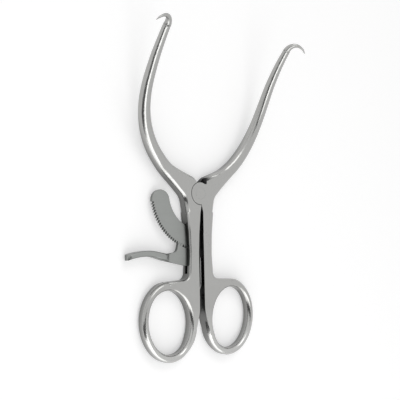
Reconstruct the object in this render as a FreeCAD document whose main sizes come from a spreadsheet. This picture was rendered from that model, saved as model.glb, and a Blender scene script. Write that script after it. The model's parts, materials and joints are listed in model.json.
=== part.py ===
import FreeCAD, Part
import math
import os

# Self retaining retractor with two finger rings, a lap joint, a curved ratchet rack and a
# spring-loaded release lever.
#
# Frame: the pivot axis is +Z and the underside of the shanks lies at height 0. +Y runs from
# the joint towards the hook tips, the rings lie towards -Y and +X is the right arm's side.
# The two arms bow apart and also rise forward, towards +Z. Each piece is drawn about the
# middle plane of the instrument and then raised by half its thickness.
# The pose drawn is the one with the rings squeezed together and the hooks wide apart.
# Millimetres and degrees.

# Driving dimensions
SIZES = [
    ("body_thickness", 6.8),
    # Lap joint and pivot pin
    ("lobe_radius", 5.7),
    ("seam_gap", 0.05),
    ("layer_gap", 0.06),
    ("pin_radius", 2.2),
    ("pin_head_radius", 3.0),
    ("pin_head_depth", 0.9),
    ("pin_clearance", 0.03),
    ("pin_press_gap", 0.0),
    ("notch_clearance_angle", 1.5),
    # Neck, where the two arms spread from the joint
    ("neck_bottom", 9.6),
    ("neck_width", 8.7),
    ("neck_corner_x", 9.95),
    ("neck_corner_y", -1.95),
    ("neck_corner_radius", 8.0),
    ("horn_x", 4.8),
    ("horn_y", 9.0),
    ("horn_tip_angle", 71.0),
    ("lower_cusp_x", 0.45),
    ("lower_cusp_y", -6.05),
    ("neck_rounding", 2.1),
    # Shanks
    ("left_half_gap", 1.8),
    ("right_half_gap", 1.45),
    ("middle_half_gap", 1.35),
    ("joint_half_gap", 0.35),
    ("shank_gap_bend_y", -30.0),
    ("shank_rounding", 1.2),
    ("shank_top_x", 8.62),
    ("shank_middle_x", 7.5),
    ("shank_middle_y", -20.3),
    ("shank_waist_x", 7.1),
    ("shank_waist_y", -31.0),
    ("shank_shoulder_x", 7.9),
    ("shank_shoulder_y", -43.75),
    ("shank_shoulder_radius", 4.0),
    ("shank_bend_radius", 40.0),
    # Finger rings
    ("ring_x", 19.3),
    ("ring_y", -64.2),
    ("ring_half_width", 12.2),
    ("ring_half_length", 15.7),
    ("ring_tilt", 7.8),
    ("ring_bar", 4.2),
    ("ring_rounding", 1.9),
    ("ring_blend_top", -60.0),
    ("ring_blend_bottom", -72.0),
    # Arms: planform arcs, the forward rise and the taper
    ("arm_root_x", 14.25),
    ("arm_root_y", 8.2),
    ("arm_root_heading", 31.5),
    ("arm_lower_radius", 48.8),
    ("arm_lower_turn", 48.7),
    ("arm_upper_radius", 68.8),
    ("arm_upper_turn", 9.0),
    ("arm_straight", 22.0),
    ("arm_rise_start", 1.2),
    ("arm_rise_radius", 103.7),
    ("arm_rise_blend", 9.0),
    ("arm_width", 6.6),
    ("arm_root_flare", 2.1),
    ("arm_root_lap", 0.5),
    ("arm_root_inset", 0.06),
    ("arm_flare_length", 5.0),
    ("arm_tip_width", 3.6),
    ("arm_taper_exponent", 2.2),
    ("arm_full_corner_ratio", 0.94),
    ("arm_round_from_ratio", 0.5),
    # Hooks
    ("hook_lean", 21.9),
    ("hook_bend_radius", 4.6),
    ("hook_bend_turn", 99.0),
    ("hook_tip_radius", 8.7),
    ("hook_tip_turn", 33.0),
    ("hook_point_width", 0.5),
    # Ratchet rack
    ("rack_inner_radius", 18.2),
    ("rack_outer_radius", 28.6),
    ("rack_thickness", 1.8),
    ("rack_end_angle", 189.2),
    ("rack_root_x", 5.7),
    ("tooth_pitch_angle", 2.85),
    ("tooth_depth", 1.0),
    ("tooth_land", 0.25),
    ("tooth_root_width", 0.3),
    ("tooth_steep_run", 0.27),
    ("tooth_count", 23),
    ("ratchet_step_count", 18),
    ("seat_gap", 0.02),
    ("rack_pin_radius", 1.0),
    ("rack_pin_x", 3.9),
    ("rack_pin_inset", 2.6),
    # Slot through the left shank
    ("slot_clearance", 0.1),
    ("slot_top_margin", 2.3),
    ("slot_bottom_margin", 12.2),
    # Release lever and pawl
    ("lever_pivot_x", -4.5),
    ("lever_pivot_drop", 2.6),
    ("lever_pin_radius", 1.0),
    ("lever_pin_clearance", 0.04),
    ("lever_back_gap", 0.35),
    ("lever_tail_x", -0.3),
    ("lever_tail_top", 1.1),
    ("lever_tail_height", 4.0),
    ("lever_crest_inset", 1.5),
    ("lever_tail_relief", 0.4),
    ("lever_tail_rounding", 1.0),
    ("lever_heel_run", 3.8),
    ("lever_heel_drop", 5.6),
    ("lever_heel_rounding", 6.0),
    ("lever_throat_run", 1.63),
    ("lever_throat_rise", 1.5),
    ("lever_throat_rounding", 2.5),
    ("pawl_angle", 244.6),
    ("pawl_tooth_count", 2),
    ("pawl_clearance", 0.08),
    ("ear_root_run", 5.13),
    ("ear_root_drop", 1.3),
    ("ear_root_height", 4.7),
    ("ear_crest_run", 14.1),
    ("ear_crest_rise", 2.4),
    ("ear_length", 26.0),
    ("ear_end_drop", 1.8),
    ("ear_width", 5.6),
    ("ear_thickness", 2.6),
    ("ear_corner_ratio", 0.35),
    ("ear_taper_length", 7.0),
    ("ear_flare_length", 6.0),
    # Leaf spring and its screw
    ("spring_thickness", 0.5),
    ("spring_width", 4.4),
    ("spring_tail_gap", 0.05),
    ("spring_tip_drop", 1.6),
    ("spring_foot_margin", 0.6),
    ("spring_step_run", 4.5),
    ("spring_bend_radius", 3.0),
    ("spring_screw_y", -53.0),
    ("screw_head_radius", 2.0),
    ("screw_head_height", 1.3),
    ("screw_head_rounding", 0.5),
    ("screw_shank_radius", 0.8),
    ("screw_length", 3.6),
    ("screw_groove_width", 0.6),
    ("screw_groove_depth", 0.6),
]

doc = FreeCAD.newDocument("retractor")
sheet = doc.addObject("Spreadsheet::Sheet", "Sizes")
for row, (alias, value) in enumerate(SIZES, start=1):
    sheet.set("A%d" % row, alias)
    sheet.set("B%d" % row, str(value))
    sheet.setAlias("B%d" % row, alias)
doc.recompute()


def size(alias):
    """One driving dimension, read from the sheet."""
    return float(sheet.get(alias))


HALF = size("body_thickness") / 2
LEVER_PIVOT_HEIGHT = "-(Sizes.rack_outer_radius + Sizes.lever_pivot_drop)"
UP = FreeCAD.Vector(0, 0, 1)
OVERCUT = 1.0
closing_angle = size("ratchet_step_count") * size("tooth_pitch_angle")


def vec(x, y, z=0.0):
    return FreeCAD.Vector(x, y, z)


def polar(radius, degrees):
    """A point at a distance and a direction from the pivot axis."""
    a = math.radians(degrees)
    return vec(radius * math.cos(a), radius * math.sin(a))


def turned(point, degrees, centre=None):
    """A point turned anticlockwise in plan about a centre, the pivot axis by default."""
    middle = centre or vec(0, 0)
    return middle + FreeCAD.Rotation(UP, degrees).multVec(point - middle)


def mirrored(point):
    return vec(-point.x, point.y, point.z)


# Outlines

def rounded(corners, closed=True):
    """Outline through (point, radius) corners as straight lines and tangent arcs."""
    starts, ends, arcs = [], [], []
    count = len(corners)
    for i, (corner, radius) in enumerate(corners):
        if radius <= 0:
            starts.append(corner)
            ends.append(corner)
            arcs.append(None)
            continue
        before = (corners[i - 1][0] - corner).normalize()
        after = (corners[(i + 1) % count][0] - corner).normalize()
        half_angle = before.getAngle(after) / 2
        reach = radius / math.tan(half_angle)
        centre = corner + (before + after).normalize() * (radius / math.sin(half_angle))
        start, end = corner + before * reach, corner + after * reach
        middle = centre + (corner - centre).normalize() * radius
        starts.append(start)
        ends.append(end)
        arcs.append(Part.Arc(start, middle, end))
    curves = []
    for i in range(count):
        if arcs[i]:
            curves.append(arcs[i])
        following = starts[(i + 1) % count]
        skipped = i == count - 1 and not closed
        if not skipped and (following - ends[i]).Length > 1e-6:
            curves.append(Part.LineSegment(ends[i], following))
    return curves


def sided(curves, side):
    """Outline curves as drawn, or mirrored for the left arm."""
    if side > 0:
        return curves
    flipped = []
    for curve in curves:
        start, end = mirrored(curve.StartPoint), mirrored(curve.EndPoint)
        if isinstance(curve, Part.LineSegment):
            flipped.append(Part.LineSegment(start, end))
        else:
            halfway = curve.value((curve.FirstParameter + curve.LastParameter) / 2)
            flipped.append(Part.Arc(start, mirrored(halfway), end))
    return flipped


# Features

def prism(name, curves, bottom, top):
    """A plain cutting prism over a closed outline."""
    face = Part.Face(Part.Wire([c.toShape() for c in curves]))
    face.translate(vec(0, 0, bottom))
    feature = doc.addObject("Part::Feature", name)
    feature.Shape = face.extrude(vec(0, 0, top - bottom))
    return feature


def origin_part(body, role):
    return next(f for f in body.Origin.OriginFeatures if f.Role == role)


def sketch_on(body, name, curves, plane="XY_Plane"):
    """A sketch of a body on one of its origin planes."""
    sketch = body.newObject("Sketcher::SketchObject", name)
    sketch.AttachmentSupport = [(origin_part(body, plane), "")]
    sketch.MapMode = "FlatFace"
    for curve in curves:
        sketch.addGeometry(curve, False)
    return sketch


def pad(body, sketch, name, length):
    """A pad of a sketch to both sides of its plane, its length bound to the sheet."""
    feature = body.newObject("PartDesign::Pad", name)
    feature.Profile = sketch
    feature.Midplane = True
    feature.setExpression("Length", length)
    doc.recompute()
    return feature


def pocket(body, sketch, name, length):
    """A pocket of a sketch to both sides of its plane."""
    before = body.Tip.Shape.Volume
    feature = body.newObject("PartDesign::Pocket", name)
    feature.Profile = sketch
    feature.Midplane = True
    feature.setExpression("Length", length)
    doc.recompute()
    if feature.Shape.Volume >= before:
        raise RuntimeError("%s takes nothing away" % name)
    return feature


def round_rims(body, block, name, radius, wanted):
    """Round the edges of a block's two flat faces that the test picks."""
    chosen = []
    for number, edge in enumerate(block.Shape.Edges, start=1):
        middle = edge.CenterOfMass
        if abs(abs(middle.z) - HALF) < 0.01 and wanted(middle):
            chosen.append("Edge%d" % number)
    rounding = body.newObject("PartDesign::Fillet", name)
    rounding.Base = (block, chosen)
    rounding.setExpression("Radius", radius)
    doc.recompute()
    return rounding


def cylinder(name, radius, bottom, height, x="0", y="0"):
    """A round bar along +Z whose sizes are all expressions."""
    feature = doc.addObject("Part::Cylinder", name)
    feature.setExpression("Radius", radius)
    feature.setExpression("Height", height)
    feature.setExpression("Placement.Base.x", x)
    feature.setExpression("Placement.Base.y", y)
    feature.setExpression("Placement.Base.z", bottom)
    return feature


def crosswise_bar(name, radius, length, x, y):
    """A round bar along +X whose sizes are all expressions."""
    feature = cylinder(name, radius, "0", length, x, y)
    feature.Placement.Rotation = FreeCAD.Rotation(vec(0, 1), 90)
    return feature


def block(name, x, y, z, length, width, height):
    """A box whose corner and sizes are all expressions."""
    feature = doc.addObject("Part::Box", name)
    for target, value in (("Placement.Base.x", x), ("Placement.Base.y", y),
                          ("Placement.Base.z", z), ("Length", length), ("Width", width),
                          ("Height", height)):
        feature.setExpression(target, value)
    return feature


def fuse(name, shapes):
    feature = doc.addObject("Part::MultiFuse", name)
    feature.Shapes = shapes
    feature.Refine = True
    return feature


def cut(name, base, tool):
    feature = doc.addObject("Part::Cut", name)
    feature.Base = base
    feature.Tool = tool
    return feature


def finish(feature, label):
    """Name a finished sub-part and raise it so that the underside lies at height 0."""
    feature.Label = label
    feature.setExpression("Placement.Base.z", "Sizes.body_thickness / 2")
    return feature


# Sections, for the lofted arms, hooks and ear

def section(centre, wide, deep, width, depth, corner):
    """Rounded rectangle about a centre: width along one axis, depth along the other."""
    a, b = width / 2, depth / 2
    k = corner * (1 - math.sqrt(0.5))

    def at(u, v):
        return centre + wide * u + deep * v

    edges = []
    quarters = [(1, 1), (-1, 1), (-1, -1), (1, -1)]
    for i, (p, q) in enumerate(quarters):
        flank = at(p * a, q * (b - corner))
        end = at(p * (a - corner), q * b)
        first, last = (flank, end) if p * q > 0 else (end, flank)
        edges.append(Part.Arc(first, at(p * (a - k), q * (b - k)), last).toShape())
        p2, q2 = quarters[(i + 1) % 4]
        if p * q > 0:
            following = at(p2 * (a - corner), q2 * b)
        else:
            following = at(p2 * a, q2 * (b - corner))
        edges.append(Part.LineSegment(last, following).toShape())
    return Part.Wire(edges)


# The curved arm, drawn as the right one

def arm_plan(distance):
    """Plan position of the arm's centre line at a distance along its planform."""
    heading = size("arm_root_heading")
    spot = vec(size("arm_root_x"), size("arm_root_y"))
    left = distance
    for radius, turn in ((size("arm_lower_radius"), size("arm_lower_turn")),
                         (size("arm_upper_radius"), size("arm_upper_turn"))):
        run = min(left, radius * math.radians(turn))
        swept = math.degrees(run / radius)
        spot = turned(spot, swept, spot + polar(radius, heading + 90))
        heading += swept
        left -= run
    return spot + polar(left, heading)


def arm_length():
    return (size("arm_lower_radius") * math.radians(size("arm_lower_turn"))
            + size("arm_upper_radius") * math.radians(size("arm_upper_turn"))
            + size("arm_straight"))


def arm_point(distance):
    """Centre line of the arm: it leaves the shanks' plane softly and then rises on an arc."""
    spot = arm_plan(distance)
    radius = size("arm_rise_radius")
    ahead = spot.y - size("arm_rise_start")
    share = max(0.0, min(1.0, (spot.y - size("arm_root_y")) / size("arm_rise_blend")))
    rise = radius - math.sqrt(radius ** 2 - ahead ** 2)
    return vec(spot.x, spot.y, rise * share ** 2 * (3 - 2 * share))


def arm_frame(distance):
    """Centre, forward direction, sideways axis and front axis of the arm's section."""
    step = 0.05
    tangent = (arm_point(distance + step) - arm_point(distance - step)).normalize()
    side = tangent.cross(UP).normalize()
    return arm_point(distance), tangent, side, side.cross(tangent)


def arm_section_size(share):
    """Width, depth and corner radius of the arm at a share of its length.

    The arm is drawn a hair smaller than the neck, so that its root lies inside it."""
    tip, inset = size("arm_tip_width"), size("arm_root_inset")
    kept = 1 - max(0.0, share) ** size("arm_taper_exponent")
    run = share * arm_length()
    flare = size("arm_root_flare") * math.exp(-max(run, run / 2) / size("arm_flare_length"))
    width = tip + (size("arm_width") - tip) * kept + flare - inset
    depth = tip + (size("body_thickness") - tip) * kept - inset
    rounding = min(1.0, max(0.0, share) / size("arm_round_from_ratio"))
    roundness = size("neck_rounding") / HALF
    roundness += (size("arm_full_corner_ratio") - roundness) * rounding
    return width, depth, roundness * min(width, depth) / 2


def hook_wires():
    """Sections of the hook, from the arm's end round two bends to the point."""
    base, tangent, side, front = arm_frame(arm_length())
    lean = math.radians(size("hook_lean"))
    outward = side * math.cos(lean) + front * math.sin(lean)
    binormal = outward.cross(tangent)
    start = size("arm_tip_width") - size("arm_root_inset")
    point_width = size("hook_point_width")
    share_round = size("arm_full_corner_ratio") / 2
    wires = [section(base, outward, binormal, start, start, share_round * start)]
    bends = [(size("hook_bend_radius"), size("hook_bend_turn"), 7),
             (size("hook_tip_radius"), size("hook_tip_turn"), 3)]
    total = sum(bend[2] for bend in bends)
    for radius, turn, steps in bends:
        centre = base + outward * radius
        spun = base, tangent, outward
        for k in range(1, steps + 1):
            spin = FreeCAD.Rotation(binormal, -turn * k / steps)
            spun = centre + spin.multVec(base - centre), spin.multVec(tangent), spin.multVec(outward)
            width = start + (point_width - start) * len(wires) / total
            wires.append(section(spun[0], spun[2], binormal, width, width, share_round * width))
        base, tangent, outward = spun
    return wires


def curved_arm(name, side):
    """The tapered arm, which starts a little inside the neck, and the hook at its end."""
    wires = []
    steps = 16
    for share in [-size("arm_root_lap") / arm_length()] + [k / steps for k in range(steps + 1)]:
        centre, _, across, front = arm_frame(share * arm_length())
        wires.append(section(centre, across, front, *arm_section_size(share)))
    arm = Part.makeLoft(wires, True).fuse(Part.makeLoft(hook_wires(), True))
    feature = doc.addObject("Part::Feature", name)
    feature.Shape = arm if side > 0 else arm.mirror(vec(0, 0), vec(1, 0))
    return feature


# Neck, shank and ring of one arm, drawn as the right one

def horn_tip():
    return polar(size("lobe_radius") - 4 * size("seam_gap"), size("horn_tip_angle"))


def horn():
    return vec(size("horn_x"), size("horn_y"))


def neck_marks():
    """Where the neck meets the arm: the outer and the inner end of the arm's root."""
    root = vec(size("arm_root_x"), size("arm_root_y"))
    across = polar(size("neck_width") / 2, size("arm_root_heading") - 90)
    return root + across, root - across


def neck_body(name, side):
    """The neck, with its outer and upper rims rounded on both faces."""
    body = doc.addObject("PartDesign::Body", name)
    outer, inner = neck_marks()
    bottom = -size("neck_bottom")
    corner = vec(size("neck_corner_x"), size("neck_corner_y"))
    outline = [
        (vec(0, 0), 0),
        (vec(-size("lower_cusp_x"), size("lower_cusp_y")), 0),
        (vec(size("joint_half_gap"), bottom), 0),
        (vec(size("shank_top_x"), bottom), 0),
        (corner, size("neck_corner_radius")),
        (outer, 0),
        (inner, 0),
        (horn(), 0),
        (horn_tip(), 0),
    ]
    sketch = sketch_on(body, name + "_plan", sided(rounded(outline), side))
    slab = pad(body, sketch, name + "_slab", "Sizes.body_thickness")

    def outward(middle):
        x, y = abs(middle.x), middle.y
        on_outside = x > size("shank_top_x") - 0.3 and y < outer.y and y > bottom + 0.05
        on_top = horn().x < x < inner.x and horn().y < y < inner.y
        return on_outside or on_top

    round_rims(body, slab, name + "_rounding", "Sizes.neck_rounding", outward)
    return body


def ring_ellipse(side, grow):
    """Ellipse of the finger ring, grown from the edge of its opening."""
    tilt = -side * size("ring_tilt")
    centre = vec(side * size("ring_x"), size("ring_y"))
    length = centre + polar(size("ring_half_length") + grow, 90 + tilt)
    width = centre + polar(size("ring_half_width") + grow, 180 + tilt)
    return Part.Ellipse(length, width, centre)


def ring_touch(start):
    """Where a straight line from a point above the ring meets its outer edge at a tangent."""
    tilt, centre = size("ring_tilt"), vec(size("ring_x"), size("ring_y"))
    wide = size("ring_half_width") + size("ring_bar")
    long = size("ring_half_length") + size("ring_bar")
    upright = turned(start - centre, tilt)
    flat = vec(upright.x / wide, upright.y / long)
    angle = math.atan2(flat.y, flat.x) - math.acos(1 / flat.Length)
    return centre + turned(vec(wide * math.cos(angle), long * math.sin(angle)), -tilt)


def ring_body(name, side):
    """The finger ring, an oval bar rounded on all four rims."""
    body = doc.addObject("PartDesign::Body", name)
    curves = [ring_ellipse(side, size("ring_bar")), ring_ellipse(side, 0)]
    bar = pad(body, sketch_on(body, name + "_plan", curves), name + "_bar",
              "Sizes.body_thickness")
    round_rims(body, bar, name + "_rounding", "Sizes.ring_rounding", lambda middle: True)
    return body


def shank_body(name, side):
    """The flat shank and the web that joins it to the ring, open inside the ring."""
    body = doc.addObject("PartDesign::Body", name)
    top = -size("neck_bottom")
    gap = size("right_half_gap") if side > 0 else size("left_half_gap")
    bend = size("shank_bend_radius")
    ring_top = size("ring_y") + size("ring_half_length") + size("ring_bar") / 2
    ring_edge = size("ring_x") - size("ring_half_width") - size("ring_bar") / 2
    shoulder = vec(size("shank_shoulder_x"), size("shank_shoulder_y"))
    outline = [
        (vec(size("joint_half_gap"), top), 0),
        (vec(size("middle_half_gap"), size("shank_middle_y")), bend),
        (vec(gap, size("shank_gap_bend_y")), bend),
        (vec(gap, size("ring_blend_top")), bend / 2),
        (vec(ring_edge, size("ring_blend_bottom")), 0),
        (vec(size("ring_x"), size("ring_y")), 0),
        (vec(size("ring_x"), ring_top), 0),
        (ring_touch(shoulder), 0),
        (shoulder, size("shank_shoulder_radius")),
        (vec(size("shank_waist_x"), size("shank_waist_y")), bend),
        (vec(size("shank_middle_x"), size("shank_middle_y")), bend),
        (vec(size("shank_top_x"), top), 0),
    ]
    sketch = sketch_on(body, name + "_plan", sided(rounded(outline), side))
    blade = pad(body, sketch, name + "_blade", "Sizes.body_thickness")

    def outer_side(middle):
        inward = size("shank_waist_x") - size("shank_rounding")
        return abs(middle.x) > inward and top > middle.y > shoulder.y - 1

    round_rims(body, blade, name + "_rounding", "Sizes.shank_rounding", outer_side)
    window = sketch_on(body, name + "_window", [ring_ellipse(side, size("ring_bar") / 2)])
    pocket(body, window, name + "_opening", "Sizes.body_thickness * 2")
    return body


# Lap joint

def layer(side):
    """Heights of the half layer that an arm's own lobe lies in, front for the right arm."""
    inner, outer = -side * size("layer_gap") / 2, side * (HALF + OVERCUT)
    return min(inner, outer), max(inner, outer)


def joint_tools(name, side):
    """What the lap joint takes from an arm: the other lobe's recess, a notch and a relief."""
    if side > 0:
        bottom = "-Sizes.body_thickness"
        height = "Sizes.body_thickness + Sizes.layer_gap / 2"
    else:
        bottom = "-Sizes.layer_gap / 2"
        height = "Sizes.body_thickness + Sizes.layer_gap / 2"
    tools = [cylinder(name + "_recess", "Sizes.lobe_radius + Sizes.seam_gap", bottom, height)]
    swing = -(closing_angle + size("notch_clearance_angle"))
    other_tip, other_horn = mirrored(horn_tip()), mirrored(horn())
    tip, corner = turned(other_tip, swing), turned(other_horn, swing)
    beyond = corner + (corner - tip)
    notch = [(vec(0, 0), 0), (tip, 0), (beyond, 0), (vec(other_horn.x, beyond.y), 0),
             (vec(other_horn.x, other_tip.y), 0)]
    gap, low = size("right_half_gap"), size("shank_middle_y")
    cusp = vec(size("lower_cusp_x") + 3 * size("seam_gap"), size("lower_cusp_y"))
    relief = [(vec(0, 0), 0), (vec(-gap, 0), 0), (vec(-gap, low), 0), (vec(gap, low), 0),
              (vec(gap, -size("neck_bottom")), 0), (cusp, 0)]
    for label, outline in (("notch", notch), ("relief", relief)):
        curves = sided(rounded(outline), side)
        tools.append(prism("%s_%s" % (name, label), curves, *layer(side)))
    return fuse(name + "_joint_tools", tools)


def countersunk_bore(name, side, grow):
    """Bore and countersink for the pivot pin through one half of the joint."""
    bore = cylinder(name + "_bore", "Sizes.pin_radius + " + grow, "-Sizes.body_thickness",
                    "Sizes.body_thickness * 2")
    cone = doc.addObject("Part::Cone", name + "_countersink")
    cone.setExpression("Radius1", "Sizes.pin_radius + " + grow)
    cone.setExpression("Radius2", "Sizes.pin_head_radius + " + grow)
    cone.setExpression("Height", "Sizes.pin_head_depth")
    if side > 0:
        cone.setExpression("Placement.Base.z", "Sizes.body_thickness / 2 - Sizes.pin_head_depth")
    else:
        cone.Placement.Rotation = FreeCAD.Rotation(vec(1, 0), 180)
        cone.setExpression("Placement.Base.z", "Sizes.pin_head_depth - Sizes.body_thickness / 2")
    return [bore, cone]


def forging(name, side):
    """Ring, shank, neck and arm in one piece, with the joint's half layer cut."""
    blank = fuse(name + "_blank", [
        shank_body(name + "_shank", side),
        ring_body(name + "_ring", side),
        neck_body(name + "_neck", side),
        curved_arm(name + "_sweep", side),
    ])
    halved = cut(name + "_halved", blank, joint_tools(name, side))
    bottom = "Sizes.layer_gap / 2" if side > 0 else "-Sizes.body_thickness / 2"
    lobe = cylinder(name + "_lobe", "Sizes.lobe_radius", bottom,
                    "Sizes.body_thickness / 2 - Sizes.layer_gap / 2")
    return fuse(name + "_forging", [halved, lobe])


RACK_PIN_HEIGHTS = {
    "inner": "-(Sizes.rack_inner_radius + Sizes.rack_pin_inset)",
    "outer": "-(Sizes.rack_outer_radius - Sizes.rack_pin_inset)",
}


def rack_pin_bars(label):
    """The two cross pins of the rack, or the holes for them."""
    return [cylinder("%s_%s" % (label, spot), "Sizes.rack_pin_radius",
                     "-Sizes.body_thickness / 2", "Sizes.body_thickness", "Sizes.rack_pin_x", y)
            for spot, y in RACK_PIN_HEIGHTS.items()]


def rack_pocket():
    """Pocket in the right shank that holds the root of the rack."""
    wall = block("rack_pocket_box", "0", "-Sizes.rack_outer_radius * 2",
                 "-Sizes.rack_thickness / 2 - Sizes.seat_gap",
                 "Sizes.rack_root_x + Sizes.seat_gap", "Sizes.rack_outer_radius * 2",
                 "Sizes.rack_thickness + 2 * Sizes.seat_gap")
    outer = cylinder("rack_pocket_outer", "Sizes.rack_outer_radius + Sizes.seat_gap",
                     "-Sizes.body_thickness", "Sizes.body_thickness * 2")
    inner = cylinder("rack_pocket_inner", "Sizes.rack_inner_radius - Sizes.seat_gap",
                     "-Sizes.body_thickness", "Sizes.body_thickness * 2")
    common = doc.addObject("Part::Common", "rack_pocket")
    common.Base = wall
    common.Tool = cut("rack_pocket_band", outer, inner)
    return common


def right_arm():
    """Right arm: the joint's front half and the pocket that holds the rack."""
    tools = [rack_pocket()] + countersunk_bore("right", 1, "Sizes.pin_clearance")
    tools += rack_pin_bars("right_rack_hole")
    shape = cut("right_arm_shape", forging("right", 1), fuse("right_tools", tools))
    return finish(shape, "right_arm")


def left_arm():
    """Left arm: the joint's back half and the slot for the rack and the lever."""
    slot = block("lever_slot", "-Sizes.neck_corner_x * 1.5",
                 "-Sizes.rack_outer_radius - Sizes.slot_bottom_margin",
                 "-Sizes.rack_thickness / 2 - Sizes.slot_clearance", "Sizes.neck_corner_x * 1.5",
                 "Sizes.rack_outer_radius - Sizes.rack_inner_radius + Sizes.slot_top_margin"
                 " + Sizes.slot_bottom_margin",
                 "Sizes.rack_thickness + 2 * Sizes.slot_clearance")
    pin_hole = cylinder("lever_pin_hole", "Sizes.lever_pin_radius", "-Sizes.body_thickness",
                        "Sizes.body_thickness * 2", "Sizes.lever_pivot_x", LEVER_PIVOT_HEIGHT)
    screw_hole = crosswise_bar(
        "screw_hole", "Sizes.screw_shank_radius", "Sizes.screw_length",
        "Sizes.spring_thickness - Sizes.left_half_gap - Sizes.screw_length",
        "Sizes.spring_screw_y")
    tools = [slot, pin_hole, screw_hole] + countersunk_bore("left", -1, "Sizes.pin_press_gap")
    shape = cut("left_arm_shape", forging("left", -1), fuse("left_tools", tools))
    return finish(shape, "left_arm")


# Pins

def pivot_pin():
    """Flush pivot pin with a conical head at each end, turned about the pivot axis."""
    body = doc.addObject("PartDesign::Body", "pivot_pin_body")
    radius, head, depth = size("pin_radius"), size("pin_head_radius"), size("pin_head_depth")
    corners = [(0, -HALF), (head, -HALF), (radius, depth - HALF), (radius, HALF - depth),
               (head, HALF), (0, HALF)]
    profile = rounded([(vec(x, y), 0) for x, y in corners])
    sketch = sketch_on(body, "pivot_pin_profile", profile, "XZ_Plane")
    turning = body.newObject("PartDesign::Revolution", "pivot_pin_turning")
    turning.Profile = sketch
    turning.ReferenceAxis = (sketch, ["V_Axis"])
    turning.Angle = 360
    doc.recompute()
    return finish(body, "pivot_pin")


def rack_pins():
    pins = doc.addObject("Part::Compound", "rack_pin_pair")
    pins.Links = rack_pin_bars("rack_pin")
    return finish(pins, "rack_pins")


def lever_pin():
    bar = cylinder("lever_pin_bar", "Sizes.lever_pin_radius", "0", "Sizes.body_thickness",
                   "Sizes.lever_pivot_x", LEVER_PIVOT_HEIGHT)
    bar.Label = "lever_pin"
    return bar


# Ratchet rack

def tooth_gap(angle, shrink, reach):
    """The gap between two teeth at an angle, its steep side on the clockwise side.

    With a shrink it is the pawl's own tooth, which fits the gap with that clearance."""
    outer, depth = size("rack_outer_radius"), size("tooth_depth")
    pitch = outer * math.radians(size("tooth_pitch_angle"))
    mouth = pitch - size("tooth_land")
    steep = size("tooth_steep_run") / depth
    slope = (mouth - size("tooth_root_width")) / depth - steep
    radial, along = polar(1, angle), polar(1, angle + 90)
    low, high = shrink - mouth / 2, mouth / 2 - shrink

    def at(run, inward):
        return radial * (outer - inward) + along * run

    floor = depth - shrink
    return [
        (at(low - steep * reach, -reach), 0),
        (at(low + steep * floor, floor), 0),
        (at(high - slope * floor, floor), 0),
        (at(high + slope * reach, -reach), 0),
    ]


def ratchet_rack():
    """Curved rack: a flat band about the pivot with a full round end and cut teeth."""
    body = doc.addObject("PartDesign::Body", "ratchet_rack_body")
    outer, inner = size("rack_outer_radius"), size("rack_inner_radius")
    root, end = size("rack_root_x"), size("rack_end_angle")
    outer_root = 360 - math.degrees(math.acos(root / outer))
    inner_root = 360 - math.degrees(math.acos(root / inner))
    cap_top = turned(polar(outer, end), -90, polar((outer + inner) / 2, end))
    curves = [
        Part.Arc(polar(outer, end), polar(outer, (end + outer_root) / 2), polar(outer, outer_root)),
        Part.LineSegment(polar(outer, outer_root), polar(inner, inner_root)),
        Part.Arc(polar(inner, inner_root), polar(inner, (end + inner_root) / 2), polar(inner, end)),
        Part.Arc(polar(inner, end), cap_top, polar(outer, end)),
    ]
    pad(body, sketch_on(body, "rack_plan", curves), "rack_band", "Sizes.rack_thickness")
    first = size("pawl_angle") - (size("ratchet_step_count") + 1) * size("tooth_pitch_angle")
    gap = sketch_on(body, "rack_gap_plan", rounded(tooth_gap(first, 0, OVERCUT)))
    tooth = pocket(body, gap, "rack_gap", "Sizes.rack_thickness * 2")
    teeth = body.newObject("PartDesign::PolarPattern", "rack_teeth")
    teeth.Originals = [tooth]
    teeth.Axis = (origin_part(body, "Z_Axis"), [""])
    teeth.setExpression("Occurrences", "Sizes.tooth_count")
    teeth.setExpression("Angle", "Sizes.tooth_pitch_angle * (Sizes.tooth_count - 1)")
    body.Tip = teeth
    doc.recompute()
    if teeth.Shape.Volume >= tooth.Shape.Volume:
        raise RuntimeError("the rack's teeth are not cut")
    shape = cut("ratchet_rack_shape", body, fuse("rack_holes", rack_pin_bars("rack_hole")))
    return finish(shape, "ratchet_rack")


# Release lever

def lever_pivot():
    return vec(size("lever_pivot_x"), -size("rack_outer_radius") - size("lever_pivot_drop"))


def pawl_tip():
    return polar(size("rack_outer_radius"), size("pawl_angle"))


def ear_root():
    """Where the flat plate ends and the ear begins."""
    return vec(pawl_tip().x - size("ear_root_run"), lever_pivot().y - size("ear_root_drop"))


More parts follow.
